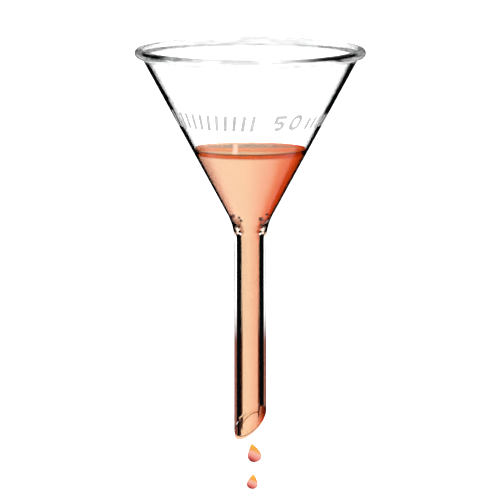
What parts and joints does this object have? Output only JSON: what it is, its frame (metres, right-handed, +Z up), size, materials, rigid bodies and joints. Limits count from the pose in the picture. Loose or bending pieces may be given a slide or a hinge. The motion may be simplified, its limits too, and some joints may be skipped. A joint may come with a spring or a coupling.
{
  "type": "glass filter funnel",
  "caption": "Small conical glass filter funnel with a beaded rim and a slant-cut stem, shown draining an orange liquid drop by drop.",
  "frame": {"origin": "on the funnel's axis, at the top of the stem's straight wall, just under the fused neck", "axes": "+Z up along the funnel's axis, from the stem to the rim; -Y is the side that carries the printed marks; +X is to the right seen from there"},
  "size_m": [0.05, 0.05, 0.0962],
  "materials": {
    "clear_glass": "polished",
    "fired_enamel": "matte",
    "orange_liquid": "gloss",
    "amber_drop": "gloss"
  },
  "bodies": {
    "funnel": {"cone_body": "clear_glass", "rim_bead": "clear_glass", "neck_seal": "clear_glass", "stem_tube": "clear_glass", "size_mark": "fired_enamel", "bar_mark": "fired_enamel", "liquid": "orange_liquid"},
    "falling_drop": {"upper_drop": "amber_drop"},
    "leading_drop": {"lower_drop": "amber_drop"}
  },
  "joints": [
    {"name": "drop_fall", "type": "slide", "parent": "funnel", "child": "falling_drop", "axis": [0, 0, -1], "range_m": [-0.002, 0.02]},
    {"name": "leading_drop_fall", "type": "slide", "parent": "funnel", "child": "leading_drop", "axis": [0, 0, -1], "range_m": [-0.003, 0.03]}
  ],
  "couplings": [
    {"joint": "leading_drop_fall", "follows": "drop_fall", "ratio": 1.5}
  ]
}
